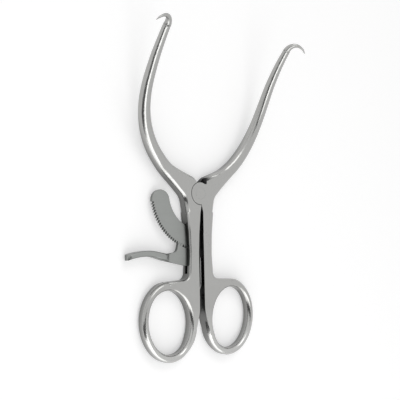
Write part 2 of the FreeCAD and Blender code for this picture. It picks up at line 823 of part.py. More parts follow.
def lever_plate():
    """Flat plate of the lever: its tail, its back under the rack and the pawl's teeth."""
    body = doc.addObject("PartDesign::Body", "lever_plate_body")
    gap = size("rack_outer_radius") + size("lever_back_gap")
    pitch, first = size("tooth_pitch_angle"), size("pawl_angle")
    pivot, ear, ear_high = lever_pivot(), ear_root(), size("ear_root_height")
    tail, heel = size("lever_tail_x"), pivot.y - size("lever_heel_drop")
    crest_x = pivot.x - size("lever_crest_inset")
    crest = vec(crest_x, -math.sqrt(gap ** 2 - crest_x ** 2))
    outline = [
        (crest, 0),
        (vec(tail, pivot.y + size("lever_tail_top")), 0),
        (vec(tail, heel + size("lever_tail_height")), 0),
        (vec(tail - size("lever_tail_relief"), heel), size("lever_tail_rounding")),
        (vec(pivot.x - size("lever_heel_run"), heel), size("lever_heel_rounding")),
        (ear - vec(0, ear_high / 2), 0),
        (ear + vec(0, ear_high / 2), 0),
        (vec(pawl_tip().x - size("lever_throat_run"), pivot.y + size("lever_throat_rise")),
         size("lever_throat_rounding")),
    ]
    for number in range(int(size("pawl_tooth_count"))):
        outline += tooth_gap(first + number * pitch, size("pawl_clearance"),
                             size("lever_back_gap"))
    curves = rounded(outline, closed=False)
    end = curves[-1].EndPoint
    halfway = math.degrees(math.atan2(crest.y, crest.x) + math.atan2(end.y, end.x)) / 2
    curves.append(Part.Arc(end, polar(gap, halfway), crest))
    pad(body, sketch_on(body, "lever_plan", curves), "lever_blank", "Sizes.rack_thickness")
    hole = Part.Circle(pivot, UP, size("lever_pin_radius") + size("lever_pin_clearance"))
    pocket(body, sketch_on(body, "lever_hole_plan", [hole]), "lever_hole",
           "Sizes.rack_thickness * 2")
    return body


def ear_centre(run):
    """Centre line of the ear by distance from its root: an S up to its crest, then down."""
    root, crest = ear_root(), size("ear_crest_run")
    rise = size("ear_crest_rise")
    if run < crest:
        return root + vec(-run, rise * (1 - math.cos(math.pi * run / crest)) / 2)
    beyond = (run - crest) / (size("ear_length") - crest)
    return root + vec(-run, rise - size("ear_end_drop") * beyond ** 2)


def ear_section(run):
    """Section of the ear: a high plate at the root that spreads into a thin broad tab."""
    plate, wide, thin = size("rack_thickness"), size("ear_width"), size("ear_thickness")
    step = min(run, OVERCUT / 10)
    slope = ear_centre(run + step) - ear_centre(run - step)
    along = slope.normalize() if run > 0 else vec(-1, 0)
    spread = min(1.0, run / size("ear_flare_length"))
    width = plate + (wide - plate) * spread ** 2 * (3 - 2 * spread)
    height = thin + (size("ear_root_height") - thin) * math.exp(-run / size("ear_taper_length"))
    corner = size("ear_corner_ratio") * min(width, height)
    return section(ear_centre(run), along.cross(UP), UP, height, width, corner)


def lever_ear():
    """Thumb ear: the plate's end spreads into a softly bent tab with a full round end."""
    length, wide = size("ear_length"), size("ear_width")
    stations = 12
    tab = Part.makeLoft([ear_section(length * k / stations) for k in range(stations + 1)], True)
    half, turn = wide / 2 + OVERCUT, wide / 2 - length
    low, high = vec(turn, 0, -wide / 2), vec(turn, 0, wide / 2)
    rim = [
        Part.LineSegment(vec(turn, 0, half), high),
        Part.Arc(high, vec(-length, 0, 0), low),
        Part.LineSegment(low, vec(turn, 0, -half)),
        Part.LineSegment(vec(turn, 0, -half), vec(0, 0, -half)),
        Part.LineSegment(vec(0, 0, -half), vec(0, 0, half)),
        Part.LineSegment(vec(0, 0, half), vec(turn, 0, half)),
    ]
    face = Part.Face(Part.Wire([c.toShape() for c in rim]))
    face.translate(ear_root() - vec(0, length))
    feature = doc.addObject("Part::Feature", "lever_ear_tab")
    feature.Shape = tab.common(face.extrude(vec(0, 2 * length)))
    return feature


def release_lever():
    return finish(fuse("release_lever_shape", [lever_plate(), lever_ear()]), "release_lever")


# Leaf spring and screw

def strip(points, thickness, bend):
    """Closed outline of a bent strip about a centre line, with one bend radius."""
    sides = {1: [], -1: []}
    for i, point in enumerate(points):
        before = point - points[i - 1] if i > 0 else points[1] - points[0]
        after = points[i + 1] - point if i + 1 < len(points) else before
        before, after = vec(before.x, before.y).normalize(), vec(after.x, after.y).normalize()
        mitre = (before + after).normalize()
        reach = thickness / 2 / (mitre * after)
        turning = before.cross(after).z
        for sign, corners in sides.items():
            radius = bend - sign * math.copysign(thickness / 2, turning) if turning else 0
            corners.append((point + vec(-mitre.y, mitre.x) * (reach * sign), radius))
    return rounded(sides[1] + sides[-1][::-1])


def lever_spring():
    """Leaf spring: its foot under the screw on the left shank, its tip on the lever's tail."""
    body = doc.addObject("PartDesign::Body", "lever_spring_body")
    thickness = size("spring_thickness")
    foot = thickness / 2 - size("left_half_gap")
    blade = size("lever_tail_x") + size("spring_tail_gap") + thickness / 2
    screw, reach = size("spring_screw_y"), size("screw_head_radius")
    points = [
        vec(foot, screw - reach),
        vec(foot, screw + reach + size("spring_foot_margin")),
        vec(blade, screw + reach + size("spring_step_run")),
        vec(blade, lever_pivot().y - size("spring_tip_drop")),
    ]
    curves = strip(points, thickness, size("spring_bend_radius"))
    pad(body, sketch_on(body, "spring_plan", curves), "spring_blade", "Sizes.spring_width")
    hole = crosswise_bar("spring_hole", "Sizes.screw_shank_radius + Sizes.seat_gap",
                         "Sizes.screw_length", "-Sizes.screw_length / 2 - Sizes.left_half_gap",
                         "Sizes.spring_screw_y")
    return finish(cut("lever_spring_shape", body, hole), "lever_spring")


def spring_screw():
    """Slotted screw that holds the spring's foot: its shank goes into the left shank."""
    body = doc.addObject("PartDesign::Body", "spring_screw_body")
    shank, head = size("screw_shank_radius"), size("screw_head_radius")
    seat = size("spring_thickness") - size("left_half_gap")
    tip, top = seat - size("screw_length"), seat + size("screw_head_height")
    axis = size("spring_screw_y")
    profile = [
        (vec(tip, axis), 0),
        (vec(top, axis), 0),
        (vec(top, axis + head), size("screw_head_rounding")),
        (vec(seat, axis + head), 0),
        (vec(seat, axis + shank), 0),
        (vec(tip, axis + shank), 0),
    ]
    sketch = sketch_on(body, "screw_profile", rounded(profile))
    sketch.addGeometry(Part.LineSegment(vec(tip - 1, axis), vec(top + 1, axis)), True)
    turning = body.newObject("PartDesign::Revolution", "screw_turning")
    turning.Profile = sketch
    turning.ReferenceAxis = (sketch, ["Axis0"])
    turning.Angle = 360
    doc.recompute()
    groove = block(
        "screw_groove",
        "Sizes.spring_thickness - Sizes.left_half_gap + Sizes.screw_head_height"
        " - Sizes.screw_groove_depth",
        "Sizes.spring_screw_y - Sizes.screw_groove_width / 2", "-Sizes.screw_head_radius * 1.5",
        "Sizes.screw_head_height", "Sizes.screw_groove_width", "Sizes.screw_head_radius * 3")
    return finish(cut("spring_screw_shape", body, groove), "spring_screw")


nodes = [
    left_arm(),
    right_arm(),
    pivot_pin(),
    ratchet_rack(),
    rack_pins(),
    release_lever(),
    lever_pin(),
    lever_spring(),
    spring_screw(),
]
doc.recompute()

for thing in doc.Objects:
    if "Invalid" in thing.State or "Error" in thing.State:
        raise RuntimeError("%s could not be built" % thing.Name)
for node in nodes:
    if node.Shape.isNull() or not node.Shape.isValid():
        raise RuntimeError("%s has no valid shape" % node.Label)
    expected = len(RACK_PIN_HEIGHTS) if node.Label == "rack_pins" else 1
    if len(node.Shape.Solids) != expected:
        raise RuntimeError("%s is not in one piece" % node.Label)

os.makedirs("parts", exist_ok=True)
for node in nodes:
    node.Shape.exportStep("parts/%s.step" % node.Label)
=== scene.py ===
"""Self retaining retractor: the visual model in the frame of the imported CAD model.

Metres, with the pivot axis along +Z, the underside of the shanks on the floor and the hooks
towards +Y. Sizes of the instrument are written in millimetres and scaled where they are used.
"""

import json
import logging
import math
from dataclasses import dataclass, field
from enum import Enum

import bmesh
import bpy
from mathutils import Matrix, Vector

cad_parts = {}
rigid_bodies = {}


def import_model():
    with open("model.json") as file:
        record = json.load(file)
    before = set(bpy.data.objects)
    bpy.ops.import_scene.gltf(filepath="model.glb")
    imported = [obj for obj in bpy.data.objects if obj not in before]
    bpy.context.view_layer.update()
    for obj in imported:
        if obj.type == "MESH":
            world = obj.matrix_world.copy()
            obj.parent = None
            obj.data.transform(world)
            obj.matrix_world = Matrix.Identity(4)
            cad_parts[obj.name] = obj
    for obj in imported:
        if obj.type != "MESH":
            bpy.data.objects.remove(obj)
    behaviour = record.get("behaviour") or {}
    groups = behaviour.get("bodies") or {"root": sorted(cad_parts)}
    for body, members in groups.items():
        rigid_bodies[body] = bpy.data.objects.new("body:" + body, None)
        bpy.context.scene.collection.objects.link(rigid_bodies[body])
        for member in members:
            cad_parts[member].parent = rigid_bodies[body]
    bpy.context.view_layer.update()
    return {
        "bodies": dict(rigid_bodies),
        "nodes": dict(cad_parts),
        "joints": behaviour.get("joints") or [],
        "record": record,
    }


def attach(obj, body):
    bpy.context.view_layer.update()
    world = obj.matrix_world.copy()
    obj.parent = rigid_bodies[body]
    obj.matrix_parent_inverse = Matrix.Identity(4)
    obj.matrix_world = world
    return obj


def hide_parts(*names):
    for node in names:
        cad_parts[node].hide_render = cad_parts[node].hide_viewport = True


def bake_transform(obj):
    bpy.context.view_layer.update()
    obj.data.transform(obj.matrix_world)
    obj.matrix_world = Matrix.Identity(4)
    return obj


LOG = logging.getLogger("retractor")
MM = 0.001
MERGE_DISTANCE = 0.001 * MM


class Body(Enum):
    """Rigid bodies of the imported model."""

    LEFT = "left_half"
    RIGHT = "right_half"
    LEVER = "lever"


class Slot(Enum):
    """Material slots of the record."""

    FORGED = "forged_steel"
    PLATE = "plate_steel"
    SPRING = "spring_steel"


class Grind(Enum):
    """Direction of the fine grinding lines: the axis that they are drawn out along."""

    LENGTHWISE = (1.0, 0.06, 1.0)
    CROSSWISE = (0.06, 1.0, 1.0)


class SeamSide(Enum):
    """Side of the instrument on which a half holds the other half's lobe."""

    NONE = 0.0
    FRONT = 1.0
    BACK = -1.0


class NodeSheet:
    """A node tree with short calls for adding and joining nodes."""

    def __init__(self, tree: bpy.types.NodeTree) -> None:
        """Keep the tree that the nodes go into."""
        self.tree = tree

    def add(self, kind: str, **values: object) -> bpy.types.Node:
        """Add a node.

        Args:
            kind: the node's type without its ShaderNode prefix.
            values: properties of the node by name.

        Returns:
            The new node.
        """
        node = self.tree.nodes.new("ShaderNode" + kind)
        for name, value in values.items():
            setattr(node, name, value)
        return node

    def feed(self, target: bpy.types.NodeSocket, source: object) -> None:
        """Set an input to a plain value or join it to an output.

        Args:
            target: the input socket.
            source: a number, a colour, a vector or an output socket.
        """
        if isinstance(source, bpy.types.NodeSocket):
            self.tree.links.new(source, target)
        else:
            target.default_value = source

    def math(self, operation: str, first: object, second: object = 0.0,
             third: object = 0.0, clamp: bool = False) -> bpy.types.NodeSocket:
        """Add a maths node and return its output.

        Args:
            operation: the node's operation.
            first: the first input.
            second: the second input.
            third: the third input, where the operation has one.
            clamp: whether the result is kept between 0 and 1.

        Returns:
            The node's output.
        """
        node = self.add("Math", operation=operation, use_clamp=clamp)
        for socket, source in zip(node.inputs, (first, second, third)):
            self.feed(socket, source)
        return node.outputs["Value"]

    def mix(self, factor: object, first: object, second: object) -> bpy.types.NodeSocket:
        """Blend two colours and return the result.

        Args:
            factor: share of the second colour.
            first: the first colour.
            second: the second colour.

        Returns:
            The blended colour.
        """
        node = self.add("Mix", data_type="RGBA")
        self.feed(node.inputs["Factor"], factor)
        self.feed(node.inputs["A"], first)
        self.feed(node.inputs["B"], second)
        return node.outputs["Result"]

    def noise(self, vector: object, scale: object, detail: float = 3.0,
              distortion: float = 0.0) -> bpy.types.NodeSocket:
        """Add a noise texture and return its value.

        Args:
            vector: where the texture is read.
            scale: how many waves there are to a metre.
            detail: how many finer layers are added.
            distortion: how far the waves are twisted.

        Returns:
            The value, from 0 to 1.
        """
        node = self.add("TexNoise")
        self.feed(node.inputs["Vector"], vector)
        self.feed(node.inputs["Scale"], scale)
        node.inputs["Detail"].default_value = detail
        node.inputs["Distortion"].default_value = distortion
        return node.outputs["Fac"]


class EffectGroup:
    """A shader node group, built once and placed in each material with its own values."""

    title = "effect"
    inputs: tuple[tuple[str, str, float], ...] = ()
    outputs: tuple[tuple[str, str], ...] = ()

    def __init__(self) -> None:
        """Make the group's tree with its named inputs and outputs, and fill it."""
        self.tree = bpy.data.node_groups.new(self.title, "ShaderNodeTree")
        for name, kind, value in self.inputs:
            socket = self.tree.interface.new_socket(name, in_out="INPUT", socket_type=kind)
            if kind == "NodeSocketFloat":
                socket.default_value = value
        for name, kind in self.outputs:
            self.tree.interface.new_socket(name, in_out="OUTPUT", socket_type=kind)
        entry = self.tree.nodes.new("NodeGroupInput")
        leave = self.tree.nodes.new("NodeGroupOutput")
        sheet = NodeSheet(self.tree)
        for name, source in self.fill(sheet, entry.outputs).items():
            sheet.feed(leave.inputs[name], source)

    def fill(self, sheet: NodeSheet, entry: bpy.types.NodeOutputs) -> dict[str, object]:
        """Add the effect's nodes.

        Args:
            sheet: the group's tree.
            entry: the group's inputs by name.

        Returns:
            What each output puts out.
        """
        raise NotImplementedError

    def place(self, sheet: NodeSheet, **values: object) -> bpy.types.NodeOutputs:
        """Put the group in a material.

        Args:
            sheet: the material's tree.
            values: the group's inputs, with underscores for spaces in their names.

        Returns:
            The outputs of the placed group.
        """
        node = sheet.add("Group", node_tree=self.tree)
        for name, value in values.items():
            sheet.feed(node.inputs[name.replace("_", " ")], value)
        return node.outputs


class GroundGrain(EffectGroup):
    """Fine grinding lines and pits of a finely ground face."""

    title = "ground_grain"
    band_scale = 0.17
    line_share = 0.6
    inputs = (
        ("Position", "NodeSocketVector", 0.0),
        ("Stretch", "NodeSocketVector", 0.0),
        ("Line Size", "NodeSocketFloat", 0.0001),
        ("Contrast", "NodeSocketFloat", 0.5),
    )
    outputs = (("Height", "NodeSocketFloat"), ("Tone", "NodeSocketFloat"))

    def fill(self, sheet: NodeSheet, entry: bpy.types.NodeOutputs) -> dict[str, object]:
        """Draw the lines out along one axis and lay fine pits over them.

        Args:
            sheet: the group's tree.
            entry: the group's inputs by name.

        Returns:
            What each output puts out.
        """
        drawn = sheet.add("VectorMath", operation="MULTIPLY")
        sheet.feed(drawn.inputs[0], entry["Position"])
        sheet.feed(drawn.inputs[1], entry["Stretch"])
        fine = sheet.math("DIVIDE", 1.0, entry["Line Size"])
        coarse = sheet.math("MULTIPLY", fine, self.band_scale)
        lines = sheet.noise(drawn.outputs["Vector"], fine)
        bands = sheet.noise(drawn.outputs["Vector"], coarse)
        pits = sheet.noise(entry["Position"], fine, 1.0)
        pitted = sheet.math("MULTIPLY", pits, 1.0 - self.line_share)
        ground = sheet.math("MULTIPLY_ADD", lines, self.line_share, pitted)
        height = sheet.math("MULTIPLY", ground, entry["Contrast"])
        halved = sheet.math("MULTIPLY", lines, 0.5)
        centred = sheet.math("SUBTRACT", sheet.math("MULTIPLY_ADD", bands, 0.5, halved), 0.5)
        tone = sheet.math("MULTIPLY", centred, entry["Contrast"])
        return {"Height": height, "Tone": tone}


class SoftEdges(EffectGroup):
    """Rounded normals at every edge and a mask of where the edge is polished."""

    title = "soft_edges"
    inputs = (("Radius", "NodeSocketFloat", 0.0003), ("Polish", "NodeSocketFloat", 4.0))
    outputs = (("Normal", "NodeSocketVector"), ("Mask", "NodeSocketFloat"))

    def fill(self, sheet: NodeSheet, entry: bpy.types.NodeOutputs) -> dict[str, object]:
        """Compare the rounded normal with the surface's own.

        Args:
            sheet: the group's tree.
            entry: the group's inputs by name.

        Returns:
            What each output puts out.
        """
        rounded = sheet.add("Bevel", samples=6)
        sheet.feed(rounded.inputs["Radius"], entry["Radius"])
        surface = sheet.add("NewGeometry")
        alike = sheet.add("VectorMath", operation="DOT_PRODUCT")
        sheet.feed(alike.inputs[0], rounded.outputs["Normal"])
        sheet.feed(alike.inputs[1], surface.outputs["Normal"])
        apart = sheet.math("SUBTRACT", 1.0, alike.outputs["Value"])
        mask = sheet.math("MULTIPLY", apart, entry["Polish"], clamp=True)
        return {"Normal": rounded.outputs["Normal"], "Mask": mask}


class PaintedCreviceShade(EffectGroup):
    """Painted shade masks: darkening in seams, slots and corners, and on low side walls."""

    title = "painted_crevice_shade"
    gain = 3.0
    open_share = 0.25
    wall_limit = 0.6
    inputs = (
        ("Reach", "NodeSocketFloat", 0.003),
        ("Depth", "NodeSocketFloat", 1.0),
        ("Wall Reach", "NodeSocketFloat", 0.010),
        ("Wall Depth", "NodeSocketFloat", 1.6),
    )
    outputs = (("Mask", "NodeSocketFloat"),)

    def closed(self, sheet: NodeSheet, reach: object) -> bpy.types.NodeSocket:
        """Share of the space over the surface that is closed in within a reach.

        Args:
            sheet: the group's tree.
            reach: metres within which something closes the space in.

        Returns:
            The share, from 0 to 1.
        """
        open_space = sheet.add("AmbientOcclusion", samples=8)
        sheet.feed(open_space.inputs["Distance"], reach)
        return sheet.math("SUBTRACT", 1.0, open_space.outputs["AO"])

    def fill(self, sheet: NodeSheet, entry: bpy.types.NodeOutputs) -> dict[str, object]:
        """Turn the open space above the surface into a mask of what is closed in.

        Args:
            sheet: the group's tree.
            entry: the group's inputs by name.

        Returns:
            What each output puts out.
        """
        # Painted shade where the space over the surface is closed in: seams, slots, corners and
        # recesses.
        near = self.closed(sheet, entry["Reach"])
        deep = sheet.math("MULTIPLY_ADD", near, self.gain, -self.gain * self.open_share,
                          clamp=True)
        crevice_shade = sheet.math("MULTIPLY", deep, entry["Depth"], clamp=True)
        # Painted shade on low side walls near the floor, standing in for the dark floor that they
        # reflect.
        wide = self.closed(sheet, entry["Wall Reach"])
        wall = sheet.math("MULTIPLY", wide, entry["Wall Depth"])
        capped = sheet.math("MINIMUM", wall, self.wall_limit)
        return {"Mask": sheet.math("MAXIMUM", crevice_shade, capped)}


class JointSeam(EffectGroup):
    """Mask of the dark line where the other half's round lobe lies in its recess."""

    title = "joint_seam"
    inputs = (
        ("Position", "NodeSocketVector", 0.0),
        ("Radius", "NodeSocketFloat", 0.0058),
        ("Width", "NodeSocketFloat", 0.0003),
        ("Middle", "NodeSocketFloat", 0.0034),
        ("Front", "NodeSocketFloat", 1.0),
    )
    outputs = (("Mask", "NodeSocketFloat"),)

    def fill(self, sheet: NodeSheet, entry: bpy.types.NodeOutputs) -> dict[str, object]:
        """Draw a thin ring about the pivot axis on one side of the middle plane.

        Args:
            sheet: the group's tree.
            entry: the group's inputs by name.

        Returns:
            What each output puts out.
        """
        parts = sheet.add("SeparateXYZ")
        sheet.feed(parts.inputs["Vector"], entry["Position"])
        across = sheet.math("MULTIPLY", parts.outputs["X"], parts.outputs["X"])
        squared = sheet.math("MULTIPLY_ADD", parts.outputs["Y"], parts.outputs["Y"], across)
        beyond = sheet.math("SUBTRACT", sheet.math("SQRT", squared), entry["Radius"])
        share = sheet.math("DIVIDE", sheet.math("ABSOLUTE", beyond), entry["Width"])
        ring = sheet.math("SUBTRACT", 1.0, sheet.math("MULTIPLY", share, share), clamp=True)
        height = sheet.math("SUBTRACT", parts.outputs["Z"], entry["Middle"])
        side = sheet.math("GREATER_THAN", sheet.math("MULTIPLY", height, entry["Front"]), 0.0)
        return {"Mask": sheet.math("MULTIPLY", ring, side)}


class PaintedNotchShade(EffectGroup):
    """Mask of painted shade in the open notch over the joint, deep between the layers."""

    title = "painted_notch_shade"
    layer_half = 0.15 * MM
    inputs = (
        ("Position", "NodeSocketVector", 0.0),
        ("Lobe Radius", "NodeSocketFloat", 0.0058),
        ("Half Width", "NodeSocketFloat", 0.0043),
        ("Lowest", "NodeSocketFloat", 0.0045),
        ("Middle", "NodeSocketFloat", 0.0034),
        ("Face Height", "NodeSocketFloat", 0.0032),
        ("Spread", "NodeSocketFloat", 0.0015),
        ("Floor", "NodeSocketFloat", 0.0032),
    )
    outputs = (("Mask", "NodeSocketFloat"),)

    def fill(self, sheet: NodeSheet, entry: bpy.types.NodeOutputs) -> dict[str, object]:
        """Mark what lies beyond the lobes, near the mid-line and between the outer faces.

        Args:
            sheet: the group's tree.
            entry: the group's inputs by name.

        Returns:
            What each output puts out.
        """
        parts = sheet.add("SeparateXYZ")
        sheet.feed(parts.inputs["Vector"], entry["Position"])
        x, y, z = parts.outputs
        squared = sheet.math("MULTIPLY_ADD", y, y, sheet.math("MULTIPLY", x, x))
        beyond = sheet.math("GREATER_THAN", sheet.math("SQRT", squared), entry["Lobe Radius"])
        above = sheet.math("GREATER_THAN", y, entry["Lowest"])
        height = sheet.math("SUBTRACT", z, entry["Middle"])
        within = sheet.math("LESS_THAN", sheet.math("ABSOLUTE", height), entry["Face Height"])
        near = sheet.math("LESS_THAN", sheet.math("ABSOLUTE", x), entry["Half Width"])
        turned = sheet.math("MULTIPLY", x, sheet.math("SIGN", height))
        open_side = sheet.math("GREATER_THAN", sheet.math("ADD", turned, entry["Spread"]), 0.0)
        level = sheet.math("LESS_THAN", sheet.math("ABSOLUTE", height), self.layer_half)
        either = sheet.math("MAXIMUM", open_side, level)
        raised = sheet.math("GREATER_THAN", sheet.math("ADD", height, entry["Floor"]), 0.0)
        near = sheet.math("MULTIPLY", near, raised)
        mask = sheet.math("MULTIPLY", sheet.math("MULTIPLY", beyond, above),
                          sheet.math("MULTIPLY", within, near))
        return {"Mask": sheet.math("MULTIPLY", mask, either)}


class PaintedRingLight(EffectGroup):
    """Mask of painted light on the finger rings' lower bars, lighter towards their ends."""

    title = "painted_ring_light"
    inputs = (
        ("Position", "NodeSocketVector", 0.0),
        ("Start", "NodeSocketFloat", -0.058),
        ("Run", "NodeSocketFloat", 0.022),
    )
    outputs = (("Mask", "NodeSocketFloat"),)

    def fill(self, sheet: NodeSheet, entry: bpy.types.NodeOutputs) -> dict[str, object]:
        """Grow the mask softly from the webs towards the ends of the rings.

        Args:
            sheet: the group's tree.
            entry: the group's inputs by name.

        Returns:
            What each output puts out.
        """
        parts = sheet.add("SeparateXYZ")
        sheet.feed(parts.inputs["Vector"], entry["Position"])
        past = sheet.math("SUBTRACT", entry["Start"], parts.outputs["Y"])
        share = sheet.math("DIVIDE", past, entry["Run"], clamp=True)
        return {"Mask": sheet.math("MULTIPLY", share, sheet.math("SUBTRACT", 2.0, share))}


class HandlingMarks(EffectGroup):
    """Soft clouds of wiped and unwiped metal, with hair-fine scratches through them."""

    title = "handling_marks"
    vein_scale = 6.0
    scratch_fineness = 90.0
    inputs = (("Position", "NodeSocketVector", 0.0), ("Cloud Size", "NodeSocketFloat", 0.012))
    outputs = (("Cloud", "NodeSocketFloat"), ("Scratch", "NodeSocketFloat"))

    def fill(self, sheet: NodeSheet, entry: bpy.types.NodeOutputs) -> dict[str, object]:
        """Make wide clouds about nought, and thin scratches.

        Args:
            sheet: the group's tree.
            entry: the group's inputs by name.

        Returns:
            What each output puts out.
        """
        scale = sheet.math("DIVIDE", 1.0, entry["Cloud Size"])
        cloud = sheet.noise(entry["Position"], scale, 4.0, 0.6)
        finer = sheet.math("MULTIPLY", scale, self.vein_scale)
        veins = sheet.noise(entry["Position"], finer, 2.0, 3.0)
        ridge = sheet.math("ABSOLUTE", sheet.math("SUBTRACT", veins, 0.5))
        thin = sheet.math("MULTIPLY_ADD", ridge, -self.scratch_fineness, 1.0, clamp=True)
        return {"Cloud": sheet.math("SUBTRACT", cloud, 0.5), "Scratch": thin}


@dataclass
class Effects:
    """The shared effects, each built once."""

    grain: GroundGrain = field(default_factory=GroundGrain)
    edges: SoftEdges = field(default_factory=SoftEdges)
    crevice_shade: PaintedCreviceShade = field(default_factory=PaintedCreviceShade)
    seam: JointSeam = field(default_factory=JointSeam)
    notch_shade: PaintedNotchShade = field(default_factory=PaintedNotchShade)
    marks: HandlingMarks = field(default_factory=HandlingMarks)
    lit_ring_bars: PaintedRingLight = field(default_factory=PaintedRingLight)


TONE_SWING = 0.12
CLOUD_TONE = 0.25
RING_LIGHT_SHARE = 0.8
SCRATCH_ROUGHNESS = 0.04
GRAIN_ROUGHNESS = 0.12
# Spread and lowest height of the painted shade in the joint notch.
NOTCH_SHADE_SPREAD = {SeamSide.FRONT: 1.5, SeamSide.BACK: 9.0}
NOTCH_SHADE_FLOOR = 3.2


@dataclass(frozen=True)
class Steel:
    """Finish of one stainless steel surface.

    Args:
        name: material name.
        colour: linear colour of the clean metal.
        shade: linear colour of the painted shade and of the dark joint line.
        roughness: roughness of the faces.
        polish: how much smoother the polished edges are.
        grind: direction of the grinding lines.
        line_size: millimetres between grinding lines.
        line_depth: millimetres that the lines are deep.
        contrast: strength of the lines, from 0 to 1.
        cloud: change of roughness by wiping.
        edge_radius: millimetres that the edges are eased by.
        crevice_reach: millimetres over which the painted crevice shade reaches.
        crevice_depth: how dark the painted crevice shade gets, from 0 to 1.
        ring_bar_light: painted light, how much lighter the colour is on the finger rings' lower
            bars.
    """

    name: str
    colour: tuple[float, float, float]
    shade: tuple[float, float, float]
    roughness: float
    polish: float
    grind: Grind
    line_size: float
    line_depth: float
    contrast: float
    cloud: float
    edge_radius: float
    crevice_reach: float
    crevice_depth: float
    ring_bar_light: float = 0.0

    def build(self, effects: Effects, seam_side: SeamSide = SeamSide.NONE) -> bpy.types.Material:
        """Make the node material.

        Args:
            effects: the shared node groups.
            seam_side: the side of the instrument with the other half's lobe.

        Returns:
            The new material.
        """
        material = bpy.data.materials.new(self.name)
        material.use_nodes = True
        sheet = NodeSheet(material.node_tree)
        shader = material.node_tree.nodes["Principled BSDF"]
        shader.inputs["Metallic"].default_value = 1.0
        position = sheet.add("TexCoord").outputs["Object"]
        grain = effects.grain.place(sheet, Position=position, Stretch=self.grind.value,
                                    Line_Size=self.line_size * MM, Contrast=self.contrast)
        edges = effects.edges.place(sheet, Radius=self.edge_radius * MM)
        crevice_shade = effects.crevice_shade.place(sheet, Reach=self.crevice_reach * MM,
                                        Depth=self.crevice_depth)
        marks = effects.marks.place(sheet, Position=position)
        lit = tuple((1 + TONE_SWING) * c for c in self.colour)
        dim = tuple((1 - TONE_SWING) * c for c in self.colour)
        shift = sheet.math("ADD", 0.5, grain["Tone"])
        tone = sheet.math("MULTIPLY_ADD", marks["Cloud"], CLOUD_TONE, shift)
        metal = sheet.mix(tone, (*dim, 1.0), (*lit, 1.0))
        # Painted shade in crevices and on low side walls near the floor.
        dark = crevice_shade["Mask"]
        # Painted light: the finger rings' lower bars are made lighter, standing in for light from
        # below.
        if self.ring_bar_light > 0.0:
            lit_ring_bars = effects.lit_ring_bars.place(sheet, Position=position)
            ring_lit_colour = tuple(c + self.ring_bar_light for c in self.colour)
            share = sheet.math("MULTIPLY", lit_ring_bars["Mask"], RING_LIGHT_SHARE)
            metal = sheet.mix(share, metal, (*ring_lit_colour, 1.0))
        if seam_side is not SeamSide.NONE:
            seam = effects.seam.place(sheet, Position=position, Front=seam_side.value)
            # Painted shade in the open notch over the joint.
            notch_shade = effects.notch_shade.place(sheet, Position=position,
                                        Spread=NOTCH_SHADE_SPREAD[seam_side] * MM,
                                        Floor=NOTCH_SHADE_FLOOR * MM)
            seam_and_notch_shade = sheet.math("MAXIMUM", seam["Mask"], notch_shade["Mask"])
            dark = sheet.math("MAXIMUM", dark, seam_and_notch_shade)
        colour = sheet.mix(dark, metal, (*self.shade, 1.0))
        sheet.feed(shader.inputs["Base Color"], colour)
        worn = sheet.math("MULTIPLY_ADD", edges["Mask"], -self.polish, self.roughness)
        wiped = sheet.math("MULTIPLY_ADD", marks["Cloud"], self.cloud, worn)
        scratched = sheet.math("MULTIPLY_ADD", marks["Scratch"], SCRATCH_ROUGHNESS, wiped)
        rough = sheet.math("MULTIPLY_ADD", grain["Tone"], GRAIN_ROUGHNESS, scratched, clamp=True)
        sheet.feed(shader.inputs["Roughness"], rough)
        bump = sheet.add("Bump")
        sheet.feed(bump.inputs["Distance"], self.line_depth * MM)
        sheet.feed(bump.inputs["Height"], grain["Height"])
        sheet.feed(bump.inputs["Normal"], edges["Normal"])
        sheet.feed(shader.inputs["Normal"], bump.outputs["Normal"])
        return material


FINISHES = {
    Slot.FORGED: Steel(
        "polished_forging", colour=(0.40, 0.40, 0.39), shade=(0.022, 0.022, 0.022),
        roughness=0.23, polish=0.06, grind=Grind.LENGTHWISE, line_size=0.11,
        line_depth=0.0012, contrast=0.35, cloud=0.05, edge_radius=0.12,
        crevice_reach=5.0, crevice_depth=0.95, ring_bar_light=0.12),
    Slot.PLATE: Steel(
        "satin_plate", colour=(0.31, 0.32, 0.31), shade=(0.024, 0.025, 0.024),
        roughness=0.30, polish=0.08, grind=Grind.CROSSWISE, line_size=0.14,
        line_depth=0.0018, contrast=0.55, cloud=0.06, edge_radius=0.10,
        crevice_reach=4.0, crevice_depth=0.90),
    Slot.SPRING: Steel(
        "blank_spring", colour=(0.42, 0.42, 0.42), shade=(0.030, 0.030, 0.030),
        roughness=0.20, polish=0.05, grind=Grind.LENGTHWISE, line_size=0.09,
        line_depth=0.0008, contrast=0.30, cloud=0.04, edge_radius=0.08,
        crevice_reach=1.5, crevice_depth=0.60),
}


def as_object(name: str, mesh: bmesh.types.BMesh) -> bpy.types.Object:
    """Turn a finished bmesh into an object at the origin, and free it.

    Args:
        name: name of the object and of its mesh.
        mesh: the finished bmesh, in metres.

    Returns:
        The new object, linked to the scene.
    """
    data = bpy.data.meshes.new(name)
    mesh.to_mesh(data)
    mesh.free()
    made = bpy.data.objects.new(name, data)
    bpy.context.scene.collection.objects.link(made)
    return made


def dress(piece: bpy.types.Object, material: bpy.types.Material, sharp_angle: float,
          flat_weight: int) -> None:
    """Give a steel piece its finish and even shading on its flat faces.

    Args:
        piece: the piece.
        material: its finish.
        sharp_angle: degrees between two faces above which their edge is drawn sharp.
        flat_weight: how strongly large faces set the shading, from 1 to 100.
    """
    for face in piece.data.polygons:
        face.use_smooth = True
    piece.data.set_sharp_from_angle(angle=math.radians(sharp_angle))
    piece.data.materials.append(material)
    weights = piece.modifiers.new("flat_faces", "WEIGHTED_NORMAL")
    weights.keep_sharp = True
    weights.weight = flat_weight


